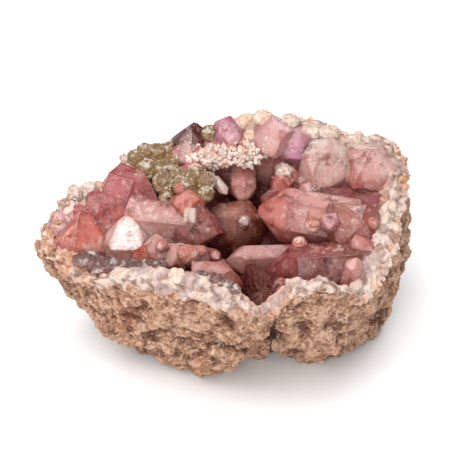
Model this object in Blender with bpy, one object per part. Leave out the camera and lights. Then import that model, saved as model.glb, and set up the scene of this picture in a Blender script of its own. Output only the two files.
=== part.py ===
"""A pink amethyst geode: half of a broken nodule, lying with its hollow facing up.

Two pieces that grew together: the rough rind of rock, and the crust of quartz that lines its hollow,
with every crystal joined to it. Metres, +Z up. The low lip of the hollow faces -Y, and the deep pocket
is right of the middle, under the back wall. The tables below are in millimetres from the middle of the
hollow's floor; an empty then moves the whole stone so that the origin is under the middle of its outline.
"""

import math
import random

import bmesh
import bpy
from mathutils import Matrix, Vector, noise

MM = 0.001

# Driving dimensions, in millimetres.
OUTLINE_MIDDLE = (1.65, 1.17)  # middle of the stone's outline seen from above, which becomes the origin
RIND_WALL = 2.8  # thickness of the rind at the broken edge
RIND_FLOOR = 9.0  # thickness of the rind under the hollow
JOINT_GAP = 0.45  # room between the rind and the crust, which are separate solids
TRIM = 1.5  # how far the crust is made to run past the hollow's wall before it is trimmed to it
BASE_SINK = 1.6  # how much of the lowest bulge is worn flat, where the stone rests
DISH_DEPTH = 11.0  # how far the bed of crystals lies below the band
DISH_SLOPE = 8.0  # width over which the bed falls from the band
POCKET = (11.0, 19.0)  # middle of the deep pocket, seen from above
POCKET_REACH = (13.0, 12.0)  # half its length along X, and half its width along Y
POCKET_DEPTH = 22.0

# The broken edge of the rind, seen from above: angle in degrees, distance from the origin, and height.
RIM = [
    (10, 61, 48), (24, 67, 54), (34, 67, 56), (43, 60, 55), (52, 55, 58.5), (71, 46, 58), (86, 44, 57),
    (105, 42, 55), (125, 43, 53), (138, 45, 52), (150, 46, 47), (162, 53, 47), (172, 57, 43),
    (180, 60, 38), (194, 52, 38), (206, 48, 39), (222, 44, 46), (238, 41, 49), (254, 41, 51),
    (267, 41, 48), (280, 43, 44), (290, 44, 39), (297, 46, 46), (308, 50, 50), (318, 52, 44),
    (326, 54, 38), (339, 55, 42), (352, 57, 45),
]  # fmt: skip

# How the outer wall falls from the rim: angle, share of the reach left at the ground, and how steep it is
# (0.2 stands up straight, 1 is an even slope).
WALL = [
    (2, 0.86, 0.18), (35, 0.64, 0.34), (90, 0.58, 0.40), (150, 0.50, 0.45), (180, 0.44, 0.50),
    (206, 0.40, 0.42), (238, 0.36, 0.54), (266, 0.36, 0.50), (281, 0.32, 0.56), (292, 0.18, 0.66),
    (304, 0.15, 0.66), (320, 0.28, 0.52), (339, 0.50, 0.34), (350, 0.60, 0.26),
]  # fmt: skip

# The white band of quartz inside the rind: angle, how far it stands above the broken rind, and its width.
BAND = [
    (0, 0.8, 6.5), (35, 1.5, 5.0), (60, 2.2, 3.5), (95, 2.6, 2.5), (150, 2.4, 2.5), (180, 0.8, 4.0),
    (215, 0.8, 5.5), (270, 0.8, 6.5), (320, 0.8, 6.5),
]  # fmt: skip

# Large lumps (raised) and hollows (sunk) of the rind: place, radius, and height.
KNOBS = [
    (-5, -33, 9, 11, 3.0), (-4, -38, 18, 6, -2.2), (32, -33, 13, 10, 2.6), (24, -38, 30, 9, 1.6),
    (-37, -20, 16, 7, 1.8), (-26, -33, 27, 8, 1.8), (-14, -39, 33, 7, 1.5), (-20, -37, 20, 6, -1.8),
    (4, -42, 30, 8, 1.8), (38, -36, 22, 6, -1.6), (52, -20, 25, 9, 1.8), (56, 8, 30, 12, 2.0),
    (55, 26, 20, 10, 2.6), (38, 38, 28, 12, 2.4), (10, 43, 20, 11, 2.8), (22, 42, 40, 7, -2.0),
    (-12, 40, 34, 12, 2.2), (-34, 24, 22, 11, 2.4), (-24, 34, 12, 8, -2.0), (-50, 6, 24, 10, 2.0),
]  # fmt: skip

# The crack that splits the front wall under the notch: where it runs at the ground and at the rim, and its
# size.
CRACK_FOOT_X, CRACK_RIM_X = 18.0, 15.0
CRACK_HALF_WIDTH, CRACK_DEPTH = 1.8, 3.0

# Crystals with a place of their own: name, point of the tip, middle of the root, width across the prism,
# and how far it is turned about its own axis, in degrees.
CRYSTALS = [
    ("left_end", (-43, 0, 50), (-45, -4, 32), 17, 24),
    ("left_end_low", (-49, -5, 45), (-45, -4, 33), 9, 52),
    ("left_lilac_end", (-52, 5, 47.5), (-48, 0, 34), 10, 44),
    ("left_wedge", (-42, 13, 49), (-29, 3, 33), 13, 28),
    ("left_wedge_low", (-47, 10, 46), (-36, 1, 33), 11, 40),
    ("left_barrel", (-20, 14, 43.5), (-36, 21, 45.5), 15, 22),
    ("left_pale", (-35, 23, 51), (-36, 20, 36), 9, 24),
    ("left_magenta", (-23, 7, 46.5), (-30, 11, 36), 11, 8),
    ("left_bright", (-30, 1.4, 47.5), (-31, -5, 28), 15, 104),
    ("left_lilac", (-42, -13, 42.5), (-38, -10, 30), 9, 40),
    ("middle_long", (1.1, -1.3, 43.5), (-29, 8, 41), 14.5, 112),
    ("middle_stub", (-10.5, -2, 50), (-10.5, 9, 46), 11, 0),
    ("middle_needle", (-9.5, -5.5, 46.5), (-9.4, -0.5, 51.5), 3.8, 12),
    ("middle_red_left", (-24, -12, 45), (-24, -10, 34), 8, 0),
    ("middle_red_high", (-19.5, -9, 47.5), (-20, -10, 34), 9, 28),
    ("middle_red_mid", (-13, -11.5, 46), (-16, -10, 34), 8, 40),
    ("middle_red_right", (-5.5, -11, 44.5), (-10, -9, 34), 8, 12),
    ("middle_front", (7, -20, 37), (-9, -20.5, 38), 11, 26),
    ("pocket_long", (1.8, -8.5, 37), (24, -3, 34), 9, 8),
    ("pocket_chip", (6.5, 0, 37), (9, -3, 30), 3.5, 0),
    ("pocket_smooth", (4.5, 3, 45), (4, 17, 28), 20, 94),
    ("pocket_frosted", (7.5, 19, 40.5), (7, 33, 48), 8.5, 116),
    ("pocket_needle", (2, 16, 46), (-2, 21, 49), 2.8, 0),
    ("pocket_back", (15, 15, 44), (21, 26, 36), 8, 24),
    ("pocket_notch", (14, -23.5, 38.5), (14, -24, 30), 10, 0),
    ("right_front", (14.7, -11.6, 34), (49, -9, 35), 15.5, 36),
    ("right_large", (12, 7.8, 45), (44, 7, 39), 16, 34),
    ("right_lilac", (32, -2, 50), (40, 2, 40), 6.5, 0),
    ("right_point", (34, 3.5, 50.5), (48, 1, 36), 17, 20),
    ("right_low", (42, -7, 46), (48, -8, 34), 11, 4),
    ("right_blade", (41.5, -21, 47.5), (39, -21, 34), 5.5, 8),
    ("right_cloudy", (44, 14, 50), (50, 27, 50), 18, 48),
    ("right_streak", (28, 15, 44), (52, 16, 43), 8, 34),
    ("back_cloudy", (31, 17, 46), (36, 33, 50), 17, 48),
    ("back_corner", (41, 28, 54), (42, 36, 46), 8, 0),
    ("back_druse_left", (17, 20, 44), (24, 30, 46), 6.5, 36),
    ("back_druse_right", (29, 16, 46), (29, 28, 44), 6.5, 4),
    ("back_large", (26.5, 26, 53), (25, 38, 53), 13, 8),
    ("back_large_pale", (17, 26, 54.5), (17.5, 38, 56), 14, 4),
    ("back_frosted", (5, 30, 56), (1, 39, 57), 10, 100),
    ("back_dark", (-9, 36, 61), (-12, 34, 45), 14, 48),
    ("back_pale", (-10, 24, 52.5), (-12, 34, 52), 10, 4),
]

# Rounded growths: name, middle, and the half sizes along X, Y and Z.
LUMPS = [
    ("green_1", (-28.5, 28, 52), (2.8, 3.0, 3.6)),
    ("green_2", (-25, 25, 49.5), (4.0, 3.6, 3.6)),
    ("green_3", (-25, 31, 53), (3.4, 3.0, 3.0)),
    ("green_4", (-21, 31, 53), (3.4, 3.2, 3.2)),
    ("green_5", (-17, 32, 53), (2.8, 3.0, 2.8)),
    ("green_6", (-20, 26, 50), (3.4, 3.2, 3.2)),
    ("green_7", (-16.5, 27, 51), (3.6, 3.4, 3.4)),
    ("green_8", (-18.5, 19, 48.5), (4.2, 4.0, 4.0)),
    ("green_9", (-17.5, 13.5, 46.5), (2.8, 2.8, 3.0)),
    ("green_10", (-11.5, 14, 50.5), (4.2, 4.2, 3.8)),
    ("green_11", (-4.8, 15.5, 51.5), (3.6, 3.6, 3.4)),
    ("green_12", (-8, 18.5, 52), (3.4, 3.4, 3.2)),
    ("green_13", (-5, 10.5, 50), (3.0, 3.0, 3.2)),
    ("green_14", (-4, 35.5, 57), (2.7, 3.0, 3.8)),
    ("green_15", (-14, 21, 50), (3.4, 3.0, 3.0)),
    ("ledge_1", (-9, 23, 52.5), (4.6, 6.0, 3.4)),
    ("ledge_2", (-3, 29, 53), (5.0, 7.0, 3.4)),
    ("ledge_3", (3, 30, 53.5), (5.0, 7.5, 3.2)),
    ("ledge_4", (9, 30, 53.5), (4.6, 7.5, 3.4)),
    ("ledge_5", (13, 33, 53.5), (3.6, 6.0, 3.0)),
    ("peach_1", (8.5, 38, 60), (4.2, 3.4, 3.2)),
    ("peach_2", (14, 38, 62), (4.0, 3.4, 2.6)),
    ("peach_3", (10, 36, 56.5), (3.6, 4.0, 3.4)),
    ("peach_4", (4, 37.5, 58), (3.0, 3.0, 3.0)),
    ("white_1", (23, 37.5, 61), (3.6, 3.2, 2.6)),
    ("white_2", (30, 36, 57), (4.0, 3.6, 3.2)),
    ("white_3", (36, 35, 57.5), (4.0, 3.6, 3.2)),
    ("white_4", (45, 33, 55), (4.0, 3.6, 3.0)),
    ("white_5", (21, 27, 48), (3.2, 3.6, 2.6)),
    ("white_6", (-47.5, 14, 47.5), (2.8, 2.8, 3.0)),
    ("white_7", (-43, 16.5, 47.2), (3.0, 3.0, 3.0)),
    ("white_8", (-51, 2, 44), (3.0, 3.0, 3.0)),
    ("white_9", (-53, -5, 40.5), (3.0, 3.4, 3.0)),
    ("white_10", (-49, -9, 41), (3.2, 3.0, 3.0)),
    ("white_11", (-54, -1, 42), (2.8, 3.0, 2.8)),
    ("white_12", (-46, -12, 41), (2.8, 2.6, 2.6)),
    ("smoky_1", (-35, -19, 45), (4.2, 3.2, 3.0)),
    ("smoky_2", (-30, -21, 45.5), (4.0, 3.2, 3.0)),
    ("smoky_3", (-25, -22, 45.5), (3.8, 3.0, 3.0)),
    ("smoky_4", (-20, -23, 45.2), (3.6, 3.0, 3.0)),
    ("smoky_5", (-41, -15, 43), (3.6, 3.2, 3.2)),
    ("smoky_6", (-6.5, -26.5, 43), (3.8, 3.2, 3.2)),
    ("smoky_7", (-2, -29, 41), (3.6, 3.2, 3.0)),
    ("smoky_8", (-13, -24, 44.5), (3.4, 3.0, 2.8)),
    ("bead_1", (-13, 9, 53), (1.9, 1.9, 1.8)),
    ("bead_2", (-6, -12, 43.5), (2.2, 1.8, 1.8)),
    ("bead_3", (25, -5, 41), (2.6, 2.6, 2.6)),
    ("bead_4", (29.2, -1.6, 46), (2.6, 2.6, 2.6)),
    ("bead_5", (48, -2.8, 47.5), (2.0, 2.0, 2.0)),
    ("bead_6", (-18, -12, 45.5), (2.0, 2.0, 2.0)),
    ("bead_7", (-10, -14, 43.5), (3.6, 3.2, 3.2)),
]

HOLLOW_SIDES, HOLLOW_RINGS = 36, 24  # facets of the hollow, the same on both pieces so that they lie alike
FLAT_WITHIN = 0.5  # facets that differ by less than this many degrees become one
SMALL_SEED = 7
SMALL_COUNT = 20
SMALL_SPACING = 5.5  # least distance between the small crystals
RHOMB_TILT = math.radians(51.8)  # angle between a quartz tip's faces' normals and the crystal's axis


def around(stations, angle):
    """The values at an angle on a smooth closed curve through the stations, whose first number is degrees."""
    angle %= 360
    count = len(stations)
    after = next((i for i, row in enumerate(stations) if row[0] > angle), count)

    def station(i):
        turns, place = divmod(i, count)
        return stations[place][0] + 360 * turns, Vector(stations[place][1:])

    (a0, v0), (a1, v1), (a2, v2), (a3, v3) = (station(after + k) for k in (-2, -1, 0, 1))
    span = a2 - a1
    t = (angle - a1) / span
    slope_1 = (v2 - v0) / (a2 - a0) * span
    slope_2 = (v3 - v1) / (a3 - a1) * span
    return (
        v1 * (2 * t**3 - 3 * t**2 + 1)
        + slope_1 * (t**3 - 2 * t**2 + t)
        + v2 * (3 * t**2 - 2 * t**3)
        + slope_2 * (t**3 - t**2)
    )


def smooth_step(t):
    t = min(max(t, 0.0), 1.0)
    return t * t * (3 - 2 * t)


def bowl_point(angle, share, wall=0.0, floor=0.0):
    """A point of the stone's outside, from the middle of its base (share 0) to the rim (share 1).

    With a wall and a floor it is the same bowl made smaller by them, which is the hollow of the rind.
    """
    reach, height = around(RIM, angle)
    foot, steepness = around(WALL, angle)
    base_share = 0.3
    up = max(0.0, (share - base_share) / (1 - base_share)) ** 1.3
    spread = foot + (1 - foot) * up**steepness if share > base_share else foot * share / base_share
    radius = (reach - wall) * spread
    z = height - (height - floor) * (1 - up)
    turn = math.radians(angle)
    return Vector((radius * math.cos(turn), radius * math.sin(turn), z))


def dented_ball(segments, rings, point_below, point_above):
    """A ball whose lower half is moved to one surface and whose upper half to another, as a closed mesh."""
    bm = bmesh.new()
    bmesh.ops.create_uvsphere(bm, u_segments=segments, v_segments=rings, radius=1)
    for vert in bm.verts:
        angle = math.degrees(math.atan2(vert.co.y, vert.co.x)) % 360
        latitude = math.asin(max(-1.0, min(1.0, vert.co.z))) / (math.pi / 2)
        vert.co = point_below(angle, 1 + latitude) if latitude <= 0 else point_above(angle, 1 - latitude)
        vert.co *= MM
    # Every form is cut into triangles the same way, so that a smaller one lies evenly inside a larger one.
    bmesh.ops.triangulate(bm, faces=bm.faces, quad_method="FIXED")
    return bm


def new_object(name, bm, collection):
    mesh = bpy.data.meshes.new(name)
    bmesh.ops.recalc_face_normals(bm, faces=bm.faces)
    bm.to_mesh(mesh)
    bm.free()
    obj = bpy.data.objects.new(name, mesh)
    collection.objects.link(obj)
    return obj


def boolean(obj, operation, other):
    """Joins or cuts obj with another object, or with all the objects of a collection."""
    modifier = obj.modifiers.new(operation.lower(), "BOOLEAN")
    modifier.operation = operation
    modifier.solver = "EXACT"
    if isinstance(other, bpy.types.Collection):
        modifier.operand_type = "COLLECTION"
        modifier.collection = other
    else:
        modifier.object = other


def as_helper(obj):
    obj.hide_render = True
    obj.display_type = "WIRE"


def rock_relief(point):
    """Height of the rind's natural bumps at a point in millimetres: broad lumps, then knots and grit."""
    broad = noise.noise(point / 13) * 2.6
    cells = noise.voronoi(point / 7.5, distance_metric="DISTANCE", exponent=2.5)[0]
    knots = (0.55 - cells[0]) * 1.9
    grit = noise.noise(point / 2.7) * 0.7
    return broad + knots + grit


def crack_depth(point):
    """Depth of the crack in the front wall at a point in millimetres."""
    if point.y > 0:
        return 0.0
    middle = CRACK_FOOT_X + (CRACK_RIM_X - CRACK_FOOT_X) * point.z / 45
    middle += noise.noise(Vector((0, 0, point.z / 6))) * 1.5
    return CRACK_DEPTH * math.exp(-(((point.x - middle) / CRACK_HALF_WIDTH) ** 2))


def make_rind(parts, cutters):
    """The rough outer shell of rock, hollowed, with its lowest bulge worn flat."""

    def outside(angle, share):
        point = bowl_point(angle, share, floor=-BASE_SINK)
        away = (point - Vector((0, 0, 45))).normalized()
        rise = rock_relief(point) - crack_depth(point)
        for x, y, z, radius, height in KNOBS:
            distance = (point - Vector((x, y, z))).length
            rise += height * math.exp(-((distance / radius) ** 2))
        # The edge keeps the line of the rim, and the sole stays low.
        rise *= 0.35 + 0.65 * smooth_step((1 - share) / 0.12)
        return point + away * rise

    def broken_face(angle, share):
        """The break runs inwards from the rim, with a rough surface. The hollow is cut out of it."""
        rim = outside(angle, 1)
        reach = Vector((rim.x, rim.y))
        inward = 1 - share
        z = rim.z + noise.noise(Vector((rim.x / 3, rim.y / 3, inward * 9))) * 1.2 * smooth_step(inward / 0.04)
        return Vector((reach.x * share, reach.y * share, z))

    bm = dented_ball(132, 72, outside, broken_face)
    rind = new_object("rind", bm, parts)
    hollow = new_object("hollow_cutter", hollow_form(0.0, above=25.0), cutters)
    as_helper(hollow)
    thin = rind.modifiers.new("fewer_faces", "DECIMATE")
    thin.ratio = 0.115
    boolean(rind, "DIFFERENCE", hollow)
    below = bmesh.new()
    bmesh.ops.create_cube(below, size=200 * MM, matrix=Matrix.Translation((0, 0, -100 * MM)))
    ground = new_object("ground_cutter", below, cutters)
    as_helper(ground)
    boolean(rind, "DIFFERENCE", ground)
    return rind


def hollow_form(gap, above):
    """The smooth form of the hollow, drawn in by a gap, and closed at a height above its rim."""

    def side(angle, share):
        return bowl_point(angle, share, wall=RIND_WALL + gap, floor=RIND_FLOOR + gap)

    def lid(angle, share):
        point = side(angle, 1)
        return Vector((point.x * share, point.y * share, point.z + above))

    return dented_ball(HOLLOW_SIDES, HOLLOW_RINGS, side, lid)


def bed_height(x, y, edge_height, inward):
    """Height of the crust's surface under the crystals, at a distance inward from its outer edge."""
    proud, width = around(BAND, math.degrees(math.atan2(y, x)))
    fall = DISH_DEPTH * smooth_step((inward - width) / DISH_SLOPE)
    across = math.hypot((x - POCKET[0]) / POCKET_REACH[0], (y - POCKET[1]) / POCKET_REACH[1])
    sink = POCKET_DEPTH * (1 - smooth_step((across - 0.45) / 0.75))
    waves = noise.noise(Vector((x / 4, y / 4, 3))) * 1.6 * smooth_step(inward / 1.5)
    return edge_height + proud * smooth_step(inward / 1.5) - fall - sink + waves


def crust_side(angle, share):
    """The lining's lower side. It runs past the hollow's wall, and is trimmed to it afterwards."""
    return bowl_point(angle, share, wall=RIND_WALL - TRIM, floor=RIND_FLOOR - TRIM)


def crust_bed(angle, share):
    """The crust's bare surface, from its outer edge (share 1) to the middle."""
    edge = crust_side(angle, 1)
    inward = Vector((edge.x, edge.y)).length * (1 - share) - TRIM
    x, y = edge.x * share, edge.y * share
    return Vector((x, y, bed_height(x, y, edge.z, max(0.0, inward))))


def make_lining(parts):
    """The bed of quartz that the crystals stand on. Its edge is the white band round the hollow."""
    return new_object("crystal_crust", dented_ball(HOLLOW_SIDES, HOLLOW_RINGS, crust_side, crust_bed), parts)


def quartz_crystal(name, tip, root, width, turn, collection):
    """A six-sided prism cut to a point by six tilted faces, three of them larger, as quartz grows."""
    chance = random.Random(name)
    axis = Vector(tip) - Vector(root)
    length = axis.length
    reach = width / math.sqrt(3)
    bm = bmesh.new()
    bmesh.ops.create_cone(bm, cap_ends=True, segments=6, radius1=reach, radius2=reach, depth=length)
    bmesh.ops.translate(bm, verts=bm.verts, vec=(0, 0, -length / 2))
    for side in range(6):
        around_axis = math.radians(60 * side)
        normal = Vector((math.cos(around_axis), math.sin(around_axis), 0)) * math.sin(RHOMB_TILT)
        normal.z = math.cos(RHOMB_TILT)
        back = chance.uniform(0.0, 0.05) if side % 2 == 0 else chance.uniform(0.04, 0.16)
        cut = bmesh.ops.bisect_plane(
            bm, geom=bm.verts[:] + bm.edges[:] + bm.faces[:], plane_co=normal * back * width, plane_no=normal,
            clear_outer=True,
        )
        rim = [item for item in cut["geom_cut"] if isinstance(item, bmesh.types.BMEdge)]
        bmesh.ops.contextual_create(bm, geom=rim)
    spin = Matrix.Rotation(math.radians(turn), 4, "Z")
    stand = axis.to_track_quat("Z", "Y").to_matrix().to_4x4()
    bmesh.ops.transform(bm, verts=bm.verts, matrix=Matrix.Translation(tip) @ stand @ spin)
    bmesh.ops.scale(bm, verts=bm.verts, vec=(MM, MM, MM))
    return new_object(name, bm, collection)


def rounded_lump(name, middle, sizes, collection):
    """A rounded growth, knobbly like a cluster of grains."""
    bm = bmesh.new()
    bmesh.ops.create_icosphere(bm, subdivisions=2 if max(sizes) > 4.5 else 1, radius=1)
    for vert in bm.verts:
        place = Vector(middle) + Vector(c * s for c, s in zip(vert.co, sizes))
        swell = 1 + noise.noise(place / 2.2) * 0.22
        vert.co = (Vector(middle) + (place - Vector(middle)) * swell) * MM
    return new_object(name, bm, collection)


def in_pocket(x, y):
    return math.hypot((x - POCKET[0]) / POCKET_REACH[0], (y - POCKET[1]) / POCKET_REACH[1]) < 1.1


def small_crystals(growths):
    """Smaller crystals all over the bed between the large ones, leaning into the hollow at chance angles."""
    chance = random.Random(SMALL_SEED)
    placed = []
    tries = 0
    while len(placed) < SMALL_COUNT and tries < 4000:
        tries += 1
        angle = chance.uniform(0, 360)
        share = math.sqrt(chance.uniform(0.05, 0.92))
        base = crust_bed(angle, share)
        if in_pocket(base.x, base.y) or any((base - other).length < SMALL_SPACING for other in placed):
            continue
        placed.append(base)
        width = chance.uniform(4.5, 8.0) * (0.7 if share > 0.88 else 1.0)
        lean = Vector((-base.x / 60, -base.y / 50, 1))
        lean += Vector([chance.uniform(-0.45, 0.45) for _ in range(3)])
        lean.normalize()
        tip = base + lean * width * chance.uniform(0.45, 0.8)
        root = tip - lean * width * 1.5
        quartz_crystal(f"small_{len(placed)}", tip, root, width, chance.uniform(0, 60), growths)


def keep_outer_skin(obj):
    """Applies the modifiers, and drops the small hollows that are sealed between the crystals' roots."""
    graph = bpy.context.evaluated_depsgraph_get()
    solid = bpy.data.meshes.new_from_object(obj.evaluated_get(graph))
    obj.modifiers.clear()
    bm = bmesh.new()
    bm.from_mesh(solid)
    waiting = set(bm.verts)
    skins = []
    while waiting:
        skin = {waiting.pop()}
        edge = list(skin)
        while edge:
            near = {side.other_vert(vert) for vert in edge for side in vert.link_edges} - skin
            skin |= near
            edge = list(near)
        waiting -= skin
        skins.append(skin)
    outer = max(skins, key=len)
    bmesh.ops.delete(bm, geom=[vert for vert in bm.verts if vert not in outer], context="VERTS")
    bm.to_mesh(solid)
    bm.free()
    obj.data = solid


def make_crust(parts, growths, cutters):
    """The crust: the lining with every crystal and rounded growth joined to it as one solid.

    What would reach into the rind, such as a crystal's root, is trimmed to the form of the hollow.
    """
    crust = make_lining(parts)
    for name, tip, root, width, turn in CRYSTALS:
        quartz_crystal(name, tip, root, width, turn, growths)
    for name, middle, sizes in LUMPS:
        rounded_lump(name, middle, sizes, growths)
    small_crystals(growths)
    for growth in growths.objects:
        as_helper(growth)
    boolean(crust, "UNION", growths)
    room = new_object("room_in_the_rind", hollow_form(JOINT_GAP, above=25.0), cutters)
    as_helper(room)
    boolean(crust, "INTERSECT", room)
    flat = crust.modifiers.new("whole_faces", "DECIMATE")
    flat.decimate_type = "DISSOLVE"
    flat.angle_limit = math.radians(FLAT_WITHIN)
    keep_outer_skin(crust)
    return crust


def material(name, colour, roughness):
    finish = bpy.data.materials.new(name)
    finish.use_nodes = True
    shader = finish.node_tree.nodes["Principled BSDF"]
    shader.inputs["Base Color"].default_value = (*colour, 1)
    shader.inputs["Roughness"].default_value = roughness
    shader.inputs["Metallic"].default_value = 0.0
    return finish


def new_collection(name):
    collection = bpy.data.collections.new(name)
    bpy.context.scene.collection.children.link(collection)
    return collection


def main():
    for obj in list(bpy.data.objects):
        bpy.data.objects.remove(obj, do_unlink=True)
    parts = new_collection("amethyst_geode")
    cutters = new_collection("cutters")
    growths = new_collection("crystals_to_join")
    rind = make_rind(parts, cutters)
    rind.data.materials.append(material("rind", (0.45, 0.23, 0.15), 0.95))
    crust = make_crust(parts, growths, cutters)
    crust.data.materials.append(material("amethyst", (0.55, 0.20, 0.19), 0.3))
    origin = bpy.data.objects.new("stone_origin", None)
    parts.objects.link(origin)
    origin.location = (-OUTLINE_MIDDLE[0] * MM, -OUTLINE_MIDDLE[1] * MM, 0)
    for obj in [rind, crust, *cutters.objects, *growths.objects]:
        obj.parent = origin


main()
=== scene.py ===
"""A pink amethyst geode: half of a broken nodule, lying with its hollow facing up.

Brown weathered rock outside, a white band of quartz at the broken edge, and inside it large cloudy pink
crystals round a deep pocket, with a grey-green knobbly cluster and a ledge of sparkling druse at the back.
Lengths in the tables are millimetres from the middle of the hollow's floor.
"""

import math
import random

import bmesh
import bpy
import numpy as np
from mathutils import Matrix, Vector, noise
from mathutils.bvhtree import BVHTree


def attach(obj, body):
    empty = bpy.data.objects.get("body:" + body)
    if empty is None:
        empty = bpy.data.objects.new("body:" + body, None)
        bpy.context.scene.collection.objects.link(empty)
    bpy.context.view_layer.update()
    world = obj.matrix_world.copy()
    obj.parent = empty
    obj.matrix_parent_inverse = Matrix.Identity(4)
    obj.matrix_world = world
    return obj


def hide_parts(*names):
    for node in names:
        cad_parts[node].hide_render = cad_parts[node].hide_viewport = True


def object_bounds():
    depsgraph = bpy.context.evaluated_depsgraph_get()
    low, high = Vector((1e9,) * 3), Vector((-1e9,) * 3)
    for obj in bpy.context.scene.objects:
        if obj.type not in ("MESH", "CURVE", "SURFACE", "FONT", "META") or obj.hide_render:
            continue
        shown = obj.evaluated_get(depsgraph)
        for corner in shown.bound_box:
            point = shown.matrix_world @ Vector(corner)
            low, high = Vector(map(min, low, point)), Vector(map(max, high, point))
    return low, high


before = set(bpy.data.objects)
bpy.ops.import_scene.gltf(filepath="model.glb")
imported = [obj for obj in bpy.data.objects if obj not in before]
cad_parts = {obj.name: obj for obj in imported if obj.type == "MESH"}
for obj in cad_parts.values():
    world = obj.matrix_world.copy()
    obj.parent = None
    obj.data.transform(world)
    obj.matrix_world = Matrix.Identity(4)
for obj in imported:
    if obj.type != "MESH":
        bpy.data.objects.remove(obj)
solid_box = [list(corner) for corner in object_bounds()]

# ---- Camera, light and table -----------------------------------------------------------------------
# The stone stands on a pale table in soft daylight from a large window on the left, seen from the front
# and from well above. The table and the lamps aren't part of the stone.
MM = 0.001
scene = bpy.context.scene
scene.view_settings.view_transform = "Standard"

LOOK_AT = Vector((2.15, -1.17, 42.0)) * MM
LOOK_DOWN = math.radians(35)
LOOK_FROM = 411.1 * MM
to_camera = Vector((0, -math.cos(LOOK_DOWN), math.sin(LOOK_DOWN)))
bpy.ops.object.camera_add(location=LOOK_AT + to_camera * LOOK_FROM)
camera = bpy.context.object
camera.rotation_mode = "QUATERNION"
camera.rotation_quaternion = (-to_camera).to_track_quat("-Z", "Y")
camera.data.lens = 100
camera.data.sensor_width = 36
scene.camera = camera


def lamp(name, place, aim, size, watts):
    """A square soft light at a place, turned to a point."""
    bpy.ops.object.light_add(type="AREA", location=Vector(place) * MM)
    light = bpy.context.object
    light.name = name
    light.rotation_mode = "QUATERNION"
    light.rotation_quaternion = (Vector(aim) - Vector(place)).to_track_quat("-Z", "Y")
    light.data.size = size * MM
    light.data.energy = watts


lamp("window", (-120, -110, 470), (0, 0, 30), 480, 3.3)
lamp("front_fill", (-80, -480, 260), (0, 0, 30), 300, 1.6)
lamp("back_light", (200, 260, 400), (0, 0, 40), 220, 0.9)
lamp("sparkle", (13, -118, 480), (-28, -4, 44), 110, 0.95)
bpy.context.object.visible_diffuse = False  # it is only there to glint in the facets

sky = bpy.data.worlds.new("studio")
scene.world = sky
sky.use_nodes = True
sky.node_tree.nodes["Background"].inputs["Color"].default_value = (1, 1, 1, 1)
sky.node_tree.nodes["Background"].inputs["Strength"].default_value = 0.36


class Field:
    """A value or colour that varies over a surface: a socket of a material's nodes, with arithmetic."""

    def __init__(self, tree, socket=None):
        self.tree = tree
        self.socket = socket

    def node(self, kind, inputs, settings=None, output=0, stops=None):
        """Adds a node. Its settings and a ramp's stops are set first, then its sockets' values or links."""
        node = self.tree.nodes.new(kind)
        for name, value in (settings or {}).items():
            setattr(node, name, value)
        for index, (position, shade) in enumerate(stops or []):
            elements = node.color_ramp.elements
            element = elements[index] if index < len(elements) else elements.new(position)
            element.position = position
            element.color = (*shade, 1)
        for socket, value in inputs.items():
            if isinstance(value, Field):
                self.tree.links.new(value.socket, node.inputs[socket])
            else:
                node.inputs[socket].default_value = value
        return Field(self.tree, node.outputs[output])

    def math(self, operation, first, second=0.0):
        return self.node("ShaderNodeMath", {0: first, 1: second}, {"operation": operation})

    def __add__(self, other):
        return self.math("ADD", self, other)

    def __mul__(self, other):
        return self.math("MULTIPLY", self, other)

    def __sub__(self, other):
        return self.math("SUBTRACT", self, other)

    def __rsub__(self, other):
        return self.math("SUBTRACT", other, self)

    __radd__ = __add__
    __rmul__ = __mul__

    def step(self, low, high):
        """0 below low, 1 above high, and a soft rise between them. With high below low it falls instead."""
        sockets = {"Value": self, "From Min": low, "From Max": high}
        return self.node("ShaderNodeMapRange", sockets, {"interpolation_type": "SMOOTHSTEP"})

    def mixed(self, other, share):
        """This colour with a share of another over it. The node's sockets 6 and 7 are its two colours."""
        other = other if isinstance(other, Field) else (*other, 1)
        return self.node("ShaderNodeMix", {0: share, 6: self, 7: other}, {"data_type": "RGBA"}, output=2)

    def darkened(self, other, share):
        """This colour with a share of it multiplied by another."""
        settings = {"data_type": "RGBA", "blend_type": "MULTIPLY"}
        return self.node("ShaderNodeMix", {0: share, 6: self, 7: (*other, 1)}, settings, output=2)

    def place(self):
        """The piece's own coordinates, in metres."""
        return self.node("ShaderNodeTexCoord", {}, output="Object")

    def along(self, axis):
        """The coordinate along X, Y or Z, in metres."""
        return self.node("ShaderNodeSeparateXYZ", {0: self.place()}, output=axis)

    def noise(self, size, detail=3.0, roughness=0.55, offset=0.0):
        """Cloudy noise with patches of about a size in millimetres. An offset gives another pattern."""
        place = self.place()
        if offset:
            place = self.node("ShaderNodeVectorMath", {0: place, 1: (offset,) * 3})
        sockets = {"Vector": place, "Scale": 1 / MM / size, "Detail": detail, "Roughness": roughness}
        return self.node("ShaderNodeTexNoise", sockets)

    def cells(self, size, output="Distance"):
        """Grains of about a size in millimetres: the distance from each one's middle, or its own colour."""
        sockets = {"Vector": self.place(), "Scale": 1 / MM / size}
        return self.node("ShaderNodeTexVoronoi", sockets, output=output)

    def grains(self, size):
        """A value of its own, from 0 to 1, for each grain of about a size in millimetres."""
        return self.node("ShaderNodeSeparateColor", {"Color": self.cells(size, "Color")})

    def attribute(self, name, output="Fac"):
        """A value, or with "Color" a colour, that the piece keeps for each of its points."""
        return self.node("ShaderNodeAttribute", {}, {"attribute_name": name}, output=output)

    def bumped(self, height, depth):
        """A surface normal with a relief of a depth in millimetres."""
        return self.node("ShaderNodeBump", {"Height": height, "Distance": depth * MM, "Strength": 1.0})


def colour(red, green, blue):
    """A colour named by its 0 to 255 display values, as the shader's linear light."""
    return tuple(((part / 255 + 0.055) / 1.055) ** 2.4 for part in (red, green, blue))


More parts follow.
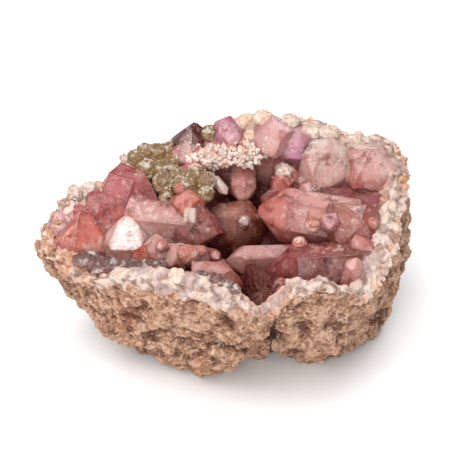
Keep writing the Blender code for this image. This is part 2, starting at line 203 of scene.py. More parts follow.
def new_material(name):
    """A material, its main shader's sockets, and a field to start its nodes from."""
    material = bpy.data.materials.new(name)
    material.use_nodes = True
    shader = material.node_tree.nodes["Principled BSDF"]
    return material, shader.inputs, Field(material.node_tree)


def feed(socket, field):
    """Links a field to a socket of a shader."""
    field.tree.links.new(field.socket, socket)


def hold(sockets, values):
    """Gives sockets of a shader values that are the same all over the piece."""
    for name, value in values.items():
        sockets[name].default_value = value


bpy.ops.mesh.primitive_plane_add(size=6)
table = bpy.context.object
table.name = "table"
paper, paper_shader, _ = new_material("paper")
hold(paper_shader, {"Base Color": (0.86, 0.86, 0.86, 1), "Roughness": 0.9})
table.data.materials.append(paper)

# ---- The rind --------------------------------------------------------------------------------------
# The outside of the nodule is weathered volcanic rock: brown, grainy and pitted, with round knots, grains
# of feldspar and rusty stains. It broke, and was never cut, so its edge is rough. The quartz grew on it.
ROCK_GRAIN = 0.75  # size of the mesh's faces
SHELTERED = 0.6  # how near to the quartz the rock stays smooth
FADE = 1.5  # over how much more its relief grows to its full height
CRACK_PLACE = 14.5  # how far to the right of the middle a crack runs down the front from the notch
CRACK_WIDTH = 0.65  # how far from its middle it can still be seen
CRACK_FRONT = (8.0, 12.0)  # how far in front of the middle it starts, and is at its darkest


def select_only(piece):
    bpy.ops.object.select_all(action="DESELECT")
    piece.select_set(True)
    bpy.context.view_layer.objects.active = piece


def apply_modifier(piece, kind, **settings):
    select_only(piece)
    modifier = piece.modifiers.new(kind.lower(), kind)
    for name, value in settings.items():
        setattr(modifier, name, value)
    bpy.ops.object.modifier_apply(modifier=modifier.name)


def copy_of_node(node, name):
    """A piece with the shape of one of the frame's solids, its loose triangles joined."""
    piece = bpy.data.objects.new(name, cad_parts[node].data.copy())
    scene.collection.objects.link(piece)
    piece.data.materials.clear()
    select_only(piece)
    bpy.ops.object.mode_set(mode="EDIT")
    bpy.ops.mesh.select_all(action="SELECT")
    bpy.ops.mesh.remove_doubles(threshold=0.005 * MM)
    bpy.ops.object.mode_set(mode="OBJECT")
    return piece


def surface_of(piece):
    """A tree of a piece's faces, to measure how far points are from it."""
    return BVHTree.FromObject(piece, bpy.context.evaluated_depsgraph_get())


def points(piece):
    """A piece's vertices as rows of numbers, in metres."""
    rows = np.empty(len(piece.data.vertices) * 3)
    piece.data.vertices.foreach_get("co", rows)
    return rows.reshape(-1, 3)


def relief_texture(name, kind, size, **settings):
    texture = bpy.data.textures.new(name, kind)
    texture.noise_scale = size * MM
    for key, value in settings.items():
        setattr(texture, key, value)
    return texture


def weathered(piece, reliefs, group=""):
    """Presses textures into a surface, each with a height in millimetres and a level that stays in place.

    How far each point ends up above or below where it was is kept as the attribute "relief".
    """
    before = points(piece)
    normals = np.array([vertex.normal for vertex in piece.data.vertices])
    for texture, height, level in reliefs:
        apply_modifier(
            piece, "DISPLACE", texture=texture, texture_coords="LOCAL", strength=height * MM, mid_level=level,
            vertex_group=group,
        )
    rise = ((points(piece) - before) * normals).sum(axis=1) / MM
    piece.data.attributes.new("relief", "FLOAT", "POINT").data.foreach_set("value", rise.astype(np.float32))


def keep_in_box(piece):
    """Brings what stands out of the solids' box back to it, which leaves the sole flat."""
    inside = np.clip(points(piece), *solid_box)
    piece.data.vertices.foreach_set("co", inside.ravel())


rind = copy_of_node("rind", "rock_rind")
rind_surface = surface_of(rind)
crust_surface = surface_of(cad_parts["crystal_crust"])
apply_modifier(rind, "REMESH", mode="VOXEL", voxel_size=ROCK_GRAIN * MM)
apply_modifier(rind, "SMOOTH", factor=0.5, iterations=3)
outside = rind.vertex_groups.new(name="outside")
for vertex in rind.data.vertices:
    gap = crust_surface.find_nearest(vertex.co)[3] / MM
    outside.add([vertex.index], min(1.0, max(0.0, (gap - SHELTERED) / FADE)), "REPLACE")
weathered(
    rind,
    [
        (relief_texture("rock_lumps", "CLOUDS", 8.0, noise_depth=2), 3.2, 0.56),
        (relief_texture("rock_knots", "VORONOI", 5.5), -2.8, 0.38),
        (relief_texture("rock_pits", "CLOUDS", 2.6, noise_depth=2, noise_type="HARD_NOISE"), -1.3, 0.35),
        (relief_texture("rock_grit", "VORONOI", 1.4), -0.8, 0.4),
    ],
    "outside",
)
keep_in_box(rind)

rock, rock_shader, rock_field = new_material("weathered_rock")
relief = rock_field.attribute("relief")
patches = rock_field.noise(9.0, detail=5.0)
crumbs = rock_field.noise(1.5, detail=5.0, roughness=0.7).step(0.36, 0.64)
# Painted highlight: the tone is paler where the relief stands up. The crumbs, raised in the bump too, are
# partly pale grains and partly painted highlight.
tones = rock_field.grains(1.1) * 0.18 + patches * 0.6 + crumbs * 0.6 + relief * 0.20 + 0.01
brown = rock_field.node(
    "ShaderNodeValToRGB",
    {"Fac": tones},
    stops=[
        (0.12, colour(104, 54, 30)), (0.36, colour(160, 129, 114)), (0.361, colour(160, 104, 72)),
        (0.58, colour(192, 142, 110)), (0.80, colour(220, 178, 150)),
    ],
)
rusty = rock_field.noise(14.0, detail=4.0, offset=3.0).step(0.56, 0.70)
brown = brown.mixed(colour(196, 112, 66), rusty * 0.45)
# Painted shade in the relief's dents, and a painted highlight on its rises.
brown = brown.mixed(colour(92, 50, 30), relief.step(-0.5, -1.9) * 0.75)
brown = brown.mixed(colour(240, 208, 186), relief.step(0.5, 1.6) * 0.35)
feldspar = rock_field.grains(0.55).step(0.90, 0.93) * rock_field.noise(5.0, offset=7.0).step(0.42, 0.6)
feldspar = feldspar * relief.step(-0.9, -0.2)
brown = brown.mixed(colour(240, 206, 190), feldspar * 0.8)
# The holes are painted dark where they dent the bump, a painted shade, and pale where it rises, a painted
# highlight.
holes = rock_field.noise(2.6, detail=4.0, roughness=0.6, offset=2.0)
brown = brown.mixed(colour(84, 44, 26), holes.step(0.40, 0.33) * 0.8)
brown = brown.mixed(colour(244, 216, 196), holes.step(0.58, 0.66) * 0.6)
# A crack down the front from the notch: a dark line of painted shade, with a slight dent in the bump.
from_crack = (rock_field.along("X") - CRACK_PLACE * MM) * (1 / MM) + (rock_field.noise(4.0) - 0.5) * 6
from_crack = rock_field.math("ABSOLUTE", from_crack)
crack = from_crack.step(CRACK_WIDTH, 0.2) * (rock_field.along("Y") * (-1 / MM)).step(*CRACK_FRONT)
brown = brown.mixed(colour(58, 32, 20), crack * 0.9)
feed(rock_shader["Base Color"], brown)
feed(rock_shader["Roughness"], 0.95 - 0.25 * feldspar)
grit = rock_field.noise(0.8, detail=4.0, roughness=0.7)
feed(rock_shader["Normal"], rock_field.bumped(crumbs * 0.5 + holes + grit * 0.5 - crack, 1.1))
rind.data.materials.append(rock)
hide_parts("rind")
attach(rind, "root")

# ---- The bed of quartz -----------------------------------------------------------------------------
# Massive quartz that grew on the rock first and that every crystal stands on. It shows between them as a
# grainy pink mass, paler near the broken edge, and painted dark red down in the pocket as painted shade.
MIDDLE = Vector((1.65, 1.17, 0))  # the middle of the stone's outline, from the middle of the floor
BED_GRAIN = 0.75  # size of the mesh's faces
BED_RISE = 1.0  # how far the bed stands above the broken edge, right beside it
DISH_DEPTH = 12.0  # how far it falls from there
DISH_EDGE, DISH_SLOPE = 3.5, 9.0  # how far inside the edge it starts to fall, and over what width
LEDGE_LEFT, LEDGE_RIGHT, LEDGE_FRONT = -12.0, 17.0, 19.0  # the overhang above the pocket
POCKET = (11.0, 9.0)  # middle of the pocket and the dark gap in front of it
POCKET_REACH = (18.0, 22.0)  # half its length along X, and half its width along Y
POCKET_DEPTH = 12.0  # how far it lies below the dish
POCKET_WALL = 0.4  # the share of its reach that its sloping wall takes
FLATTENED = 20  # by how much the height of what stands above the dish is divided
SECTOR = 5  # degrees of the broken edge that give one point of its outline


def in_frame(spot):
    """A place that is given in millimetres from the middle of the hollow's floor, in the frame's metres."""
    return (Vector(spot) - MIDDLE) * MM


def from_middle(surface_points):
    """Angle in degrees, reach and height of points, in millimetres from the middle of the hollow's floor."""
    x, y, z = (surface_points / MM + np.array(MIDDLE)).T
    return np.degrees(np.arctan2(y, x)) % 360, np.hypot(x, y), z


def across_pocket(x, y):
    """How far from the middle of the pocket places lie, with 1 at its edge."""
    return np.hypot((x - POCKET[0]) / POCKET_REACH[0], (y - POCKET[1]) / POCKET_REACH[1])


def press(piece):
    """Presses a copy of the crust's crystals down into the dish they stand in: finer ones replace them.

    They keep a small share of their height above it, so that the surface doesn't fold onto itself.
    """
    apply_modifier(piece, "REMESH", mode="VOXEL", voxel_size=BED_GRAIN * MM)
    spots = points(piece) / MM + np.array(MIDDLE)
    turns, reaches, heights = from_middle(points(piece))
    inside = np.interp(turns, rim_turns, rim_reach, period=360) - reaches
    fall = np.clip((inside - DISH_EDGE) / DISH_SLOPE, 0, 1)
    edge = np.interp(turns, rim_turns, rim_height, period=360) + BED_RISE
    dish = edge - DISH_DEPTH * fall**2 * (3 - 2 * fall)
    dish -= POCKET_DEPTH * np.clip((1 - across_pocket(spots[:, 0], spots[:, 1])) / POCKET_WALL, 0, 1)
    ledge = (spots[:, 0] > LEDGE_LEFT) & (spots[:, 0] < LEDGE_RIGHT) & (spots[:, 1] > LEDGE_FRONT)
    spots[:, 2] = np.where(ledge, heights, np.minimum(heights, dish + (heights - dish) / FLATTENED))
    piece.data.vertices.foreach_set("co", ((spots - np.array(MIDDLE)) * MM).ravel())


rim_turns, rim_reach, rim_height = from_middle(points(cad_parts["rind"]))
sectors = (rim_turns / SECTOR).astype(int)
in_sectors = [np.flatnonzero(sectors == sector) for sector in range(360 // SECTOR)]
rim_top = [max(members, key=lambda i: rim_height[i]) for members in in_sectors]
rim_reach, rim_height = rim_reach[rim_top], rim_height[rim_top]
rim_turns = np.arange(SECTOR / 2, 360, SECTOR)

bed = copy_of_node("crystal_crust", "quartz_bed")
press(bed)
apply_modifier(bed, "REMESH", mode="VOXEL", voxel_size=BED_GRAIN * MM)
apply_modifier(bed, "SMOOTH", factor=0.5, iterations=3)
weathered(
    bed,
    [
        (relief_texture("bed_lumps", "CLOUDS", 3.0, noise_depth=2), 0.8, 0.6),
        (relief_texture("bed_grains", "VORONOI", 1.7), -0.7, 0.5),
    ],
)
inward = [rind_surface.find_nearest(vertex.co)[3] / MM for vertex in bed.data.vertices]
bed.data.attributes.new("inward", "FLOAT", "POINT").data.foreach_set("value", inward)

QUARTZ_IOR = 1.54
quartz, quartz_shader, quartz_field = new_material("cloudy_quartz")
body = quartz_field.node(
    "ShaderNodeValToRGB",
    {"Fac": quartz_field.noise(6.0, detail=4.0)},
    stops=[(0.25, colour(120, 62, 58)), (0.5, colour(170, 117, 110)), (0.501, colour(166, 100, 94))],
)
near_edge = quartz_field.attribute("inward") + quartz_field.noise(4.0) * 4.0
# Painted shade: down in the pocket, away from the rock, the bed is painted almost black-red.
in_pocket = quartz_field.along("Z").step(0.049, 0.041) * near_edge.step(6.0, 11.0)
body = body.mixed(colour(66, 14, 8), in_pocket * 0.95)
body = body.mixed(colour(222, 192, 180), near_edge.step(9.5, 5.0) * 0.8)
feed(quartz_shader["Base Color"], body)
hold(quartz_shader, {
    "Roughness": 0.5, "IOR": QUARTZ_IOR, "Specular IOR Level": 0.2, "Subsurface Weight": 0.5,
    "Subsurface Radius": (1.0, 0.6, 0.5), "Subsurface Scale": 1.0 * MM,
})
sugar = quartz_field.cells(0.8) * 0.6 + quartz_field.noise(1.2, detail=4.0)
feed(quartz_shader["Normal"], quartz_field.bumped(sugar, 0.35))
bed.data.materials.append(quartz)
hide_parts("crystal_crust")
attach(bed, "root")

# ---- The white band --------------------------------------------------------------------------------
# The broken edge of the quartz: white and grey lumps in a band round the whole hollow. It laps a few
# millimetres down over the rock, where the break slants outwards.
# Rows: angle round the hollow, how far it laps down the rock, and how far it reaches inwards.
LAP = [
    (0, 1.5, 8.0), (25, 1.0, 5.0), (50, 2.0, 5.0), (75, 1.0, 4.0), (110, 1.0, 1.0), (150, 0.5, 0.5),
    (175, 0.5, 1.0), (190, 2.0, 2.5), (205, 4.0, 4.0), (230, 5.5, 5.0), (262, 6.0, 5.0), (278, 3.0, 5.0),
    (286, 2.0, 4.0), (297, 2.0, 5.0), (303, 3.0, 7.0), (322, 2.0, 7.0), (345, 1.5, 8.5),
]
FOOT = 4.0  # how far it runs on underneath the rock and the bed, out of sight
BURIED = 2.4  # how deep it lies there
SHELL = 0.8  # its thickness
SWOLLEN = 0.35  # how far the two solids are swollen, so that they merge
BAND_GRAIN = 0.7  # size of the mesh's faces
LOWEST, FLATNESS = 24.0, 0.95  # the height below which their form isn't needed, and is pressed flat
EDGE_BLUR = 1.2  # the width of its edges, over which it rises out of the ground
TANNED = [(198, 1.3, 16), (292, 1.4, 6)]  # tan stretches: angle of the middle, strength, fading over degrees


def joined(pieces, name):
    select_only(pieces[0])
    for piece in pieces:
        piece.select_set(True)
    bpy.ops.object.join()
    bpy.context.object.name = name
    return bpy.context.object


def weigh(piece, name, shares):
    """Gives a piece a vertex group with a share from 0 to 1 for each of its points."""
    group = piece.vertex_groups.new(name=name)
    steps = 20
    levels = np.round(np.clip(shares, 0, 1) * steps).astype(int)
    for level in range(steps + 1):
        group.add(np.flatnonzero(levels == level).tolist(), level / steps, "REPLACE")


def far_from(surface, spots):
    """Distances of points from a surface, in millimetres."""
    return np.array([surface.find_nearest(spot)[3] for spot in spots]) / MM


def ragged(spots, size, height, seed):
    """Smooth noise at points in metres: a height either way, with waves of about a size in millimetres."""
    offset = Vector((seed, seed, seed))
    return np.array([noise.noise(Vector(spot) / (size * MM) + offset) for spot in spots]) * height


def strip(piece, values, least):
    """Cuts a mesh down to the one strip round its highest value where the values stay above the least.

    Returns the numbers that the points which stay had before.
    """
    mesh = bmesh.new()
    mesh.from_mesh(piece.data)
    mesh.verts.ensure_lookup_table()
    kept = {int(np.argmax(values))}
    reached = list(kept)
    while reached:
        vertex = mesh.verts[reached.pop()]
        beside = {edge.other_vert(vertex).index for edge in vertex.link_edges} - kept
        fresh = [index for index in beside if values[index] > least]
        kept.update(fresh)
        reached += fresh
    far = [vertex for vertex in mesh.verts if vertex.index not in kept]
    bmesh.ops.delete(mesh, geom=far, context="VERTS")
    mesh.to_mesh(piece.data)
    mesh.free()
    return sorted(kept)


solids = [copy_of_node("rind", "swollen_rind"), copy_of_node("crystal_crust", "swollen_crust")]
press(solids[1])
for solid in solids:
    apply_modifier(solid, "DISPLACE", strength=SWOLLEN * MM, mid_level=0.0)
band = joined(solids, "white_band")
apply_modifier(band, "REMESH", mode="VOXEL", voxel_size=BAND_GRAIN * MM)
spots = points(band)
deep = LOWEST * MM - spots[:, 2]
spots[:, 2] += np.where(deep > 0, deep * FLATNESS, 0)
band.data.vertices.foreach_set("co", spots.ravel())
apply_modifier(band, "REMESH", mode="VOXEL", voxel_size=BAND_GRAIN * MM)
apply_modifier(band, "SMOOTH", factor=0.5, iterations=4)
spots = points(band)
turns, reaches, heights = from_middle(spots)
on_rock = far_from(rind_surface, spots) < far_from(crust_surface, spots)
below_rim = np.interp(turns, rim_turns, rim_height, period=360) - heights
inside_rim = np.interp(turns, rim_turns, rim_reach, period=360) - reaches
stations = np.array(LAP)
lap = np.interp(turns, stations[:, 0], stations[:, 1], period=360)
width = np.interp(turns, stations[:, 0], stations[:, 2], period=360)
to_edge = np.where(on_rock, lap - below_rim, width - inside_rim)  # how far inside the band's edge a point is
near = to_edge > -FOOT - 1
scallops = ragged(spots[near], size=5.0, height=2.6, seed=1.0)
to_edge[near] += scallops + ragged(spots[near], size=1.6, height=1.3, seed=2.0)
kept = strip(band, to_edge, -FOOT)
turns, to_edge = turns[kept], to_edge[kept]
shares = np.clip(to_edge / EDGE_BLUR + 0.5, 0, 1)
weigh(band, "whole", shares)
weigh(band, "buried", 1 - shares)
apply_modifier(band, "DISPLACE", strength=-BURIED * MM, mid_level=0.0, vertex_group="buried")
apply_modifier(band, "SMOOTH", factor=0.5, iterations=2)
weathered(
    band,
    [
        (relief_texture("band_domes", "VORONOI", 3.6), -2.4, 0.38),
        (relief_texture("band_lumps", "CLOUDS", 4.0, noise_depth=2), 1.4, 0.45),
        (relief_texture("band_sugar", "VORONOI", 1.2), -0.45, 0.4),
    ],
    "whole",
)
keep_in_box(band)
band.data.attributes.new("to_edge", "FLOAT", "POINT").data.foreach_set("value", np.maximum(to_edge, 0))
tanned = sum(np.clip(most - np.abs(turns - middle) / fading, 0, 1) for middle, most, fading in TANNED)
band.data.attributes.new("tanned", "FLOAT", "POINT").data.foreach_set("value", tanned)


def give_way(ground, growth, reach, depth, bare=None):
    """Sinks the surface of the ground under what stands in it, where it is about level with that.

    Bare names the points of the growth that show; without it all of them do. Returns the points that sank.
    """
    mesh = growth.data
    shown = [face.vertices[:] for face in mesh.polygons]
    if bare is not None:
        shown = [corners for corners in shown if all(bare[i] for i in corners)]
    surface = BVHTree.FromPolygons([vertex.co for vertex in mesh.vertices], shown)
    sunk = set()
    for vertex in ground.data.vertices:
        spot, normal, _, _ = surface.find_nearest(vertex.co, reach * MM)
        if spot is not None:
            sunk.add(vertex.index)
            if (vertex.co - spot).dot(normal) > -depth * MM:
                vertex.co = spot - normal * depth * MM
    return sunk


give_way(rind, band, reach=1.8, depth=0.7, bare=shares > 0.6)
give_way(bed, band, reach=2.6, depth=0.8, bare=shares > 0.6)
apply_modifier(band, "SOLIDIFY", thickness=SHELL * MM, offset=-1.0)
bpy.ops.object.mode_set(mode="EDIT")
bpy.ops.mesh.select_all(action="SELECT")
bpy.ops.mesh.delete_loose()
bpy.ops.object.mode_set(mode="OBJECT")

white, white_shader, white_field = new_material("white_quartz")
relief = white_field.attribute("relief")
# The band's tone rises with its relief, a painted highlight on its lumps.
milky = white_field.node(
    "ShaderNodeValToRGB",
    {"Fac": white_field.noise(3.0, detail=5.0) + relief * 0.16 - 0.08},
    stops=[(0.24, colour(140, 108, 92)), (0.42, colour(201, 186, 177)), (0.421, colour(196, 172, 156))],
)
grey = white_field.noise(8.0, offset=4.0).step(0.48, 0.62)
milky = milky.mixed(colour(154, 128, 124), grey * 0.75)
tan = white_field.attribute("to_edge").step(1.75, 0.0) * white_field.noise(4.0, offset=8.0).step(0.4, 0.6)
tan = tan + white_field.attribute("tanned") * white_field.noise(5.0, offset=6.0).step(0.35, 0.55)
milky = milky.mixed(colour(196, 138, 100), tan.math("MINIMUM", tan, 1.0) * 0.75)
# Painted shade in the band's dents.
milky = milky.mixed(colour(150, 112, 94), relief.step(-0.4, -1.5) * 0.45)
iron = white_field.noise(3.5, offset=5.0).step(0.68, 0.74)
milky = milky.mixed(colour(214, 122, 76), iron * 0.6)
feed(white_shader["Base Color"], milky)
hold(white_shader, {
    "Roughness": 0.33, "IOR": QUARTZ_IOR, "Subsurface Weight": 0.6,
    "Subsurface Radius": (1.0, 0.9, 0.85), "Subsurface Scale": 1.0 * MM,
})
sugar = white_field.cells(0.7) * 0.5 + white_field.cells(1.9)
sugar = sugar + white_field.noise(1.2, detail=5.0, roughness=0.7)
feed(white_shader["Normal"], white_field.bumped(sugar, 0.35))
band.data.materials.append(white)
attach(band, "root")

# ---- The large crystals ----------------------------------------------------------------------------
# Amethyst points, most of them 8 to 20 mm wide, six-sided and cloudy, each with its own lean and tint. The
# root of each is drowned in the bed.
# Rows: name, tip, middle of the root, width, turn about the axis, colours at the root and at the tip.
PINK = {
    "rose": colour(226, 136, 124),
    "pale": colour(248, 198, 188),
    "salmon": colour(236, 140, 112),
    "mauve": colour(204, 112, 116),
    "wine": colour(150, 50, 38),
    "lilac": colour(224, 170, 178),
    "smoke": colour(178, 104, 80),
    "olive": colour(150, 96, 70),
    "purple": colour(190, 110, 160),
    "white": colour(250, 230, 220),
    "plum": colour(100, 38, 38),
}
RHOMB_TILT = math.radians(51.8)  # angle between the normals of a quartz tip's faces and its axis
LARGE_FACES, SMALL_FACES = (0.0, 0.05), (0.04, 0.16)  # how far behind the tip they lie, in widths
EDGE_WEAR, MOST_WEAR = 0.035, 0.35  # width of a worn edge in widths of the crystal, and its most in mm
CORE_DEPTH = 0.25  # how far from its edges the inside of a face begins, in widths
CRYSTALS = {
    "left": [
        ("end", (-43, 0, 50), (-45, -4, 32), 17, 24, "salmon", "rose"),
        ("end_low", (-49, -5, 45), (-45, -4, 33), 9, 52, "salmon", "white"),
        ("lilac_end", (-52, 5, 47.5), (-48, 0, 34), 10, 44, "lilac", "lilac"),
        ("wedge", (-42, 13, 49), (-29, 3, 33), 13, 28, "rose", "mauve"),
        ("wedge_low", (-47, 10, 46), (-36, 1, 33), 11, 40, "rose", "mauve"),
        ("barrel", (-20, 14, 43.5), (-36, 21, 45.5), 15, 22, "mauve", "mauve"),
        ("pale", (-35, 23, 51), (-34, 17, 38), 9, 24, "rose", "pale"),
        ("magenta", (-23, 7, 46.5), (-30, 11, 36), 11, 8, "wine", "mauve"),
        ("bright", (-30, 1.4, 47.5), (-31, -5, 28), 16, 104, "rose", "white"),
        ("lilac", (-42, -13, 42.5), (-38, -10, 30), 9, 40, "mauve", "lilac"),
    ],
    "middle": [
        ("long", (1.1, -1.3, 43.5), (-29, 8, 41), 14.5, 112, "pale", "wine"),
        ("stub", (-10.5, -2, 50), (-10.5, 9, 46), 11, 0, "rose", "salmon"),
        ("needle", (-9.5, -5.5, 46.5), (-9.4, -0.5, 51.5), 3.8, 12, "white", "white"),
        ("red_left", (-24, -12, 45), (-24, -10, 34), 8, 0, "rose", "salmon"),
        ("red_high", (-19.5, -9, 47.5), (-20, -10, 34), 10, 28, "rose", "pale"),
        ("red_mid", (-13, -11.5, 46), (-16, -10, 34), 10, 40, "salmon", "pale"),
        ("red_right", (-5.5, -11, 44.5), (-10, -9, 34), 8, 12, "salmon", "pale"),
        ("front", (7, -20, 37), (-9, -20.5, 38), 11, 26, "pale", "rose"),
    ],
    "pocket": [
        ("long", (1.8, -8.5, 37), (24, -3, 34), 9, 8, "mauve", "pale"),
        ("chip", (6.2, -3.8, 39), (9, -6.5, 31), 4, 0, "white", "white"),
        ("flake", (6.5, 2.2, 44.5), (8, 6.5, 42), 3.6, 10, "white", "white"),
        ("smooth", (4.5, 3, 45), (4, 17, 28), 20, 94, "smoke", "smoke"),
        ("frosted", (7.5, 19, 40.5), (7, 33, 48), 8.5, 116, "rose", "pale"),
        ("needle", (2, 16, 46), (-2, 21, 49), 2.8, 0, "white", "white"),
        ("back", (15, 15, 44), (21, 26, 36), 8, 24, "plum", "mauve"),
        ("notch", (14, -23.5, 38.5), (14, -24, 30), 10, 0, "olive", "olive"),
    ],
    "right": [
        ("front", (14.7, -11.6, 34), (49, -9, 35), 15.5, 36, "olive", "mauve"),
        ("large", (12, 7.8, 45), (44, 7, 39), 16, 34, "pale", "rose"),
        ("lilac", (32, -2, 50), (40, 2, 40), 6.5, 0, "rose", "lilac"),
        ("point", (34, 3.5, 50.5), (48, 1, 36), 17, 20, "mauve", "smoke"),
        ("low", (42, -7, 46), (48, -8, 34), 11, 4, "pale", "rose"),
        ("blade", (41.5, -21, 47.5), (39, -21, 34), 5.5, 8, "mauve", "pale"),
        ("cloudy", (44, 14, 50), (50, 27, 50), 18, 48, "white", "rose"),
        # The streak's dark plum tip is painted shade: it stands for the shadow under the cloudy crystals.
        ("streak", (28, 15, 44), (52, 16, 43), 8, 34, "mauve", "plum"),
    ],
    "back": [
        ("cloudy", (31, 17, 46), (36, 33, 50), 17, 48, "white", "pale"),
        ("corner", (41, 28, 54), (42, 36, 46), 8, 0, "pale", "lilac"),
        ("druse_left", (17, 20, 44), (24, 30, 46), 6.5, 36, "rose", "rose"),
        ("druse_right", (29, 16, 46), (29, 28, 44), 6.5, 4, "white", "rose"),
        ("large", (26.5, 26, 53), (25, 38, 53), 13, 8, "pale", "purple"),
        ("large_pale", (17, 26, 54.5), (17.5, 38, 56), 14, 4, "lilac", "pale"),
        ("frosted", (5, 30, 56), (1, 39, 57), 10, 100, "purple", "lilac"),
        ("dark", (-9, 36.5, 61), (-11.5, 33.5, 48), 12, 48, "plum", "plum"),
        ("pale", (-10, 24, 52.5), (-12, 34, 52), 10, 4, "mauve", "pale"),
    ],
}


def quartz_point(tip, root, width, turn, chance, worn=True):
    """A six-sided prism cut to a point by six faces, three of them larger.

    A worn one has soft edges and a fine mesh, and knows how far each of its points lies from an edge: the
    attribute "core" is 1 well inside a face.
    """
    axis = Vector(tip) - Vector(root)
    bpy.ops.mesh.primitive_cylinder_add(
        vertices=6, radius=width / math.sqrt(3) * MM, depth=axis.length * MM,
        location=(0, 0, -axis.length / 2 * MM),
    )
    crystal = bpy.context.object
    bpy.ops.object.transform_apply()
    bpy.ops.object.mode_set(mode="EDIT")
    for side in range(6):
        around = math.radians(60 * side)
        normal = Vector((math.cos(around), math.sin(around), 0)) * math.sin(RHOMB_TILT)
        normal.z = math.cos(RHOMB_TILT)
        back = chance.uniform(*(LARGE_FACES if side % 2 == 0 else SMALL_FACES))
        bpy.ops.mesh.select_all(action="SELECT")
        bpy.ops.mesh.bisect(
            plane_co=normal * back * width * MM, plane_no=normal, use_fill=True, clear_outer=True
        )
    bpy.ops.mesh.select_all(action="SELECT")
    bpy.ops.mesh.remove_doubles(threshold=0.01 * MM)
    bpy.ops.object.mode_set(mode="OBJECT")
    core = np.full(len(crystal.data.vertices), 0.5, dtype=np.float32)
    if worn:
        ends = np.array([[crystal.data.vertices[i].co for i in edge.vertices] for edge in crystal.data.edges])
        bpy.ops.object.mode_set(mode="EDIT")
        wear = min(MOST_WEAR, width * EDGE_WEAR) * MM
        bpy.ops.mesh.bevel(offset=wear, segments=2, profile=0.6, clamp_overlap=True)
        bpy.ops.mesh.quads_convert_to_tris()
        bpy.ops.mesh.subdivide(number_cuts=3)
        bpy.ops.object.mode_set(mode="OBJECT")
        spots, along = points(crystal)[:, None], ends[:, 1] - ends[:, 0]
        share = np.clip(((spots - ends[:, 0]) * along).sum(axis=2) / (along**2).sum(axis=1), 0, 1)[:, :, None]
        gaps = np.linalg.norm(spots - ends[:, 0] - share * along, axis=2).min(axis=1)
        core = np.clip(gaps / (width * CORE_DEPTH * MM), 0, 1).astype(np.float32)
    crystal.data.attributes.new("core", "FLOAT", "POINT").data.foreach_set("value", core)
    stand = axis.to_track_quat("Z", "Y").to_matrix().to_4x4() @ Matrix.Rotation(math.radians(turn), 4, "Z")
    crystal.data.transform(Matrix.Translation(in_frame(tip)) @ stand)
    return crystal


def tint(crystal, tip, root, root_colour, tip_colour):
    """Colours a crystal from its root to its tip, as the attribute "tint"."""
    start = in_frame(root)
    way = in_frame(tip) - start
    along = np.clip((points(crystal) - np.array(start)) @ np.array(way) / way.length_squared, 0, 1)[:, None]
    shades = np.array(root_colour) * (1 - along) + np.array(tip_colour) * along
    shades = np.hstack([shades, np.ones((len(shades), 1))])
    layer = crystal.data.color_attributes.new("tint", "FLOAT_COLOR", "POINT")
    layer.data.foreach_set("color", shades.astype(np.float32).ravel())


amethyst, amethyst_shader, amethyst_field = new_material("amethyst")
own = amethyst_field.attribute("tint", "Color")
veils = amethyst_field.noise(4.5, detail=5.0, roughness=0.6)
streaks = amethyst_field.noise(1.6, detail=4.0, offset=2.0)
core = amethyst_field.attribute("core")
height = amethyst_field.along("Z")
# Painted shade: each crystal is painted darker along its edges, and so looks lighter in the middle of its
# faces.
own = own.darkened((0.45, 0.22, 0.20), (1 - core.step(0.0, 0.5)) * 0.5)
plates = amethyst_field.grains(6.0)
own = own.mixed(colour(250, 214, 204), plates.step(0.6, 1.0) * 0.25)
own = own.darkened((0.5, 0.28, 0.26), plates.step(0.35, 0.0) * 0.4)
cloudy = own.mixed(colour(244, 196, 182), veils.step(0.50, 0.70) * core.step(0.1, 1.0) * 0.7)
cloudy = cloudy.darkened((0.40, 0.18, 0.16), veils.step(0.48, 0.34) * 0.8)
# Pale flecks inside the faces: partly flaws in the quartz, partly painted glints.
flaws_and_glints = amethyst_field.grains(1.7).step(0.66, 0.78) * amethyst_field.noise(3.5, offset=5.0).step(0.50, 0.58)
cloudy = cloudy.mixed(colour(255, 226, 214), flaws_and_glints * core.step(0.1, 0.4) * 0.6)
frost = amethyst_field.noise(0.7, detail=6.0, roughness=0.7).step(0.50, 0.64)
frost = frost * amethyst_field.noise(5.0, offset=9.0).step(0.46, 0.62) * height.step(0.038, 0.048)
cloudy = cloudy.mixed(colour(254, 234, 226), frost * 0.45)
cloudy = cloudy.mixed(colour(244, 214, 202), streaks.step(0.60, 0.72) * 0.4)
stain = amethyst_field.noise(7.0, offset=11.0).step(0.60, 0.72)
cloudy = cloudy.mixed(colour(214, 112, 74), stain * 0.4)
# Painted shade: the lower in the hollow, the darker the crystals are painted.
cloudy = cloudy.darkened((0.36, 0.16, 0.14), height.step(0.046, 0.032) * 0.85)
feed(amethyst_shader["Base Color"], cloudy)
feed(amethyst_shader["Roughness"], 0.14 + 0.18 * veils.step(0.45, 0.7) + 0.25 * frost)
hold(amethyst_shader, {
    "IOR": QUARTZ_IOR, "Specular IOR Level": 0.3, "Transmission Weight": 0.55, "Subsurface Weight": 0.5,
    "Subsurface Radius": (1.0, 0.4, 0.35), "Subsurface Scale": 2.5 * MM,
})
growth = amethyst_field.noise(1.0, detail=5.0) * 0.6 + streaks + frost * 0.5
feed(amethyst_shader["Normal"], amethyst_field.bumped(growth, 0.15))

